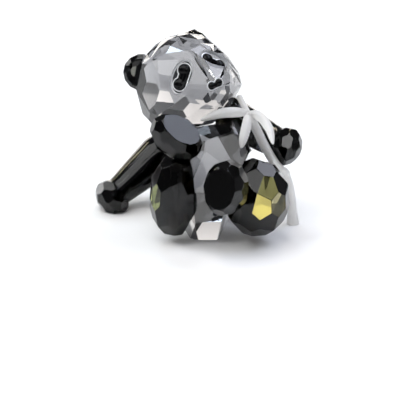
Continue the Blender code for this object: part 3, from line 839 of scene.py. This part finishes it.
@dataclass
class Studio:
    """The camera at the photograph's angle, the pale floor and the soft lights."""

    aim: Vector = field(default_factory=lambda: Vector((-4.0, 25.0, 0.0)) * MM)
    distance: float = 565.5 * MM
    elevation: float = 21.0
    lens: float = 117.0
    sensor: float = 36.0
    nearest: float = 10.0 * MM
    floor_half: float = 3.0
    floor_gap: float = 0.05 * MM
    floor_colour: str = "#f2f2f2"
    floor_roughness: float = 0.9
    room_colour: str = "#f6f8ff"
    horizon: float = 0.25
    zenith: float = 0.10
    horizon_top: float = 0.30
    boxes: tuple[SoftBox, ...] = (
        SoftBox("key_box", 0.0, 58.0, 0.50, 2.4),
        SoftBox("left_box", 92.0, 52.0, 0.44, 5.0, "#e6edff"),
        SoftBox("right_box", 296.0, 68.0, 0.80, 2.6),
        SoftBox("side_box", 264.0, 38.0, 0.46, 4.0),
        SoftBox("gold_lamp", 228.0, 34.0, 0.10, 9.0, "#fff4cc"),
        SoftBox("blue_lamp", 208.0, 64.0, 0.10, 16.0, "#c8ecff"),
        SoftBox("cheek_box", 128.0, 58.0, 0.36, 4.4, "#eef1ff"),
        SoftBox("chest_box", 202.0, 48.0, 0.20, 9.0, "#e4f2ff"),
        SoftBox("backdrop", 180.0, 11.0, 1.50, 2.9, "#fffaf3", height=0.30),
        SoftBox("paw_lamp", 33.0, 38.0, 0.18, 5.5),
        SoftBox("right_paw_lamp", 238.0, 12.0, 0.16, 5.0),
        SoftBox("foil_box", 344.0, 28.0, 0.34, 0.75),
        SoftBox("arm_lamp", 308.0, 50.0, 0.12, 20.0),
        SoftBox("crown_lamp", 160.0, 58.0, 0.10, 30.0, "#fff0d8"))

    def build(self) -> None:
        """Place everything that isn't part of the figurine."""
        self.add_camera()
        self.add_floor()
        self.add_room()
        for box in self.boxes:
            box.build()

    def add_camera(self) -> None:
        """Look down on the figurine from the front."""
        data = bpy.data.cameras.new("camera")
        data.lens = self.lens
        data.sensor_width = self.sensor
        data.clip_start = self.nearest
        camera = bpy.data.objects.new("camera", data)
        rise = math.radians(self.elevation)
        camera.location = self.aim + Vector((0.0, -math.cos(rise), math.sin(rise))) * self.distance
        camera.rotation_euler = (math.radians(90.0 - self.elevation), 0.0, 0.0)
        bpy.context.scene.collection.objects.link(camera)
        bpy.context.scene.camera = camera

    def add_floor(self) -> None:
        """Lay a plain pale floor."""
        mesh = bmesh.new()
        bmesh.ops.create_grid(mesh, x_segments=1, y_segments=1, size=self.floor_half)
        floor = make_object(mesh, "floor")
        material = new_material("matt white paint")
        shader = add_node(material.node_tree, "ShaderNodeBsdfPrincipled",
                          {"Base Color": linear(self.floor_colour),
                           "Roughness": self.floor_roughness})
        add_node(material.node_tree, "ShaderNodeOutputMaterial", None,
                 {"Surface": shader.outputs["BSDF"]})
        floor.data.materials.append(material)
        floor.location.z = CAD_BOX[0][2] - self.floor_gap

    def add_room(self) -> None:
        """Surround it all with a room whose walls are bright low down and dark overhead."""
        world = bpy.data.worlds.new("studio")
        world.use_nodes = True
        tree = world.node_tree
        tree.nodes.clear()
        place = add_node(tree, "ShaderNodeTexCoord")
        split = add_node(tree, "ShaderNodeSeparateXYZ", None,
                         {"Vector": place.outputs["Generated"]})
        height = add_node(tree, "ShaderNodeMapRange",
                          {"From Min": 0.0, "From Max": self.horizon_top,
                           "To Min": self.horizon, "To Max": self.zenith},
                          {"Value": split.outputs["Z"]})
        back = add_node(tree, "ShaderNodeBackground", {"Color": linear(self.room_colour)},
                        {"Strength": height.outputs["Result"]})
        add_node(tree, "ShaderNodeOutputWorld", None, {"Surface": back.outputs["Background"]})
        bpy.context.scene.world = world


@dataclass
class PandaFigurine:
    """The whole figurine: clear body and head, dark limbs and ears, stones and branch."""

    clear: bpy.types.Material = field(default_factory=CLEAR.material)
    smoky: bpy.types.Material = field(default_factory=SMOKY.material)
    # The amber, straw, bronze, olive and ash glasses are painted light: pale tinted glass for
    # facets that seem lit through the dark crystal.
    amber: bpy.types.Material = field(default_factory=AMBER_PAINTED_LIGHT.material)
    straw: bpy.types.Material = field(default_factory=STRAW_PAINTED_LIGHT.material)
    bronze: bpy.types.Material = field(default_factory=BRONZE_PAINTED_LIGHT.material)
    olive: bpy.types.Material = field(default_factory=OLIVE_PAINTED_LIGHT.material)
    ash: bpy.types.Material = field(default_factory=ASH_PAINTED_LIGHT.material)
    deep: bpy.types.Material = field(default_factory=DEEP.material)
    ink: bpy.types.Material = field(default_factory=INK.material)
    frosted: bpy.types.Material = field(default_factory=FROSTED.material)
    jet: bpy.types.Material = field(default_factory=JET.material)
    silver: bpy.types.Material = field(default_factory=SILVER.material)
    pewter: bpy.types.Material = field(default_factory=PEWTER.material)
    # Places in millimetres of the thigh facets that get painted light.
    right_painted_lights: tuple[tuple[float, float, float], ...] = ((-21.4, -26.9, 21.0),)
    left_painted_lights: tuple[tuple[float, float, float], ...] = (
        (22.7, -30.9, 26.6), (20.2, -33.5, 19.0), (26.6, -30.9, 19.5))
    shaft_angle: float = 13.0

    def build(self) -> list[bpy.types.Object]:
        """Build every piece in the order in which they are glued together.

        Returns:
            The pieces.
        """
        pieces = [CutCrystal("body", [self.clear], Slot.CLEAR).build(),
                  Head("head", [self.clear, self.silver, self.pewter], Slot.CLEAR).build()]
        # The listed thigh facets get pale tinted glass as painted light.
        pieces.append(Thigh("right_thigh", [self.smoky, self.olive], Slot.SMOKY,
                            painted_light_places=self.right_painted_lights).build())
        pieces.append(Thigh("left_thigh", [self.smoky, self.bronze, self.amber, self.straw],
                            Slot.SMOKY, painted_light_places=self.left_painted_lights).build())
        for node in ("right_foot", "left_foot"):
            pieces.append(CutCrystal(node, [self.deep], Slot.SMOKY).build())
        # Each ear's dished flat gets the ash glass as painted light.
        for node in ("right_ear", "left_ear"):
            pieces.append(Ear(node, [self.ink, self.ash], Slot.SMOKY).build())
        for node in ("right_arm", "left_arm"):
            pieces.append(CutCrystal(node, [self.deep], Slot.SMOKY, sharp=self.shaft_angle,
                                     smooth_angle=self.shaft_angle).build())
        for node in ("right_eye", "left_eye", "nose"):
            pieces.append(Stone(node, [self.jet, self.silver]).build())
        pieces.append(BambooBranch(self.frosted).build())
        return pieces


def main() -> None:
    """Build the figurine's pieces in order, then the studio."""
    logging.basicConfig(level=logging.INFO, format="%(message)s")
    for piece in PandaFigurine().build():
        LOG.info("%s: %d faces", piece.name, len(piece.data.polygons))
    Studio().build()
    scene = bpy.context.scene
    scene.view_settings.view_transform = "Standard"
    scene.cycles.transmission_bounces = TRANSMISSION_BOUNCES
    scene.cycles.max_bounces = ALL_BOUNCES


if __name__ == "__main__":
    main()
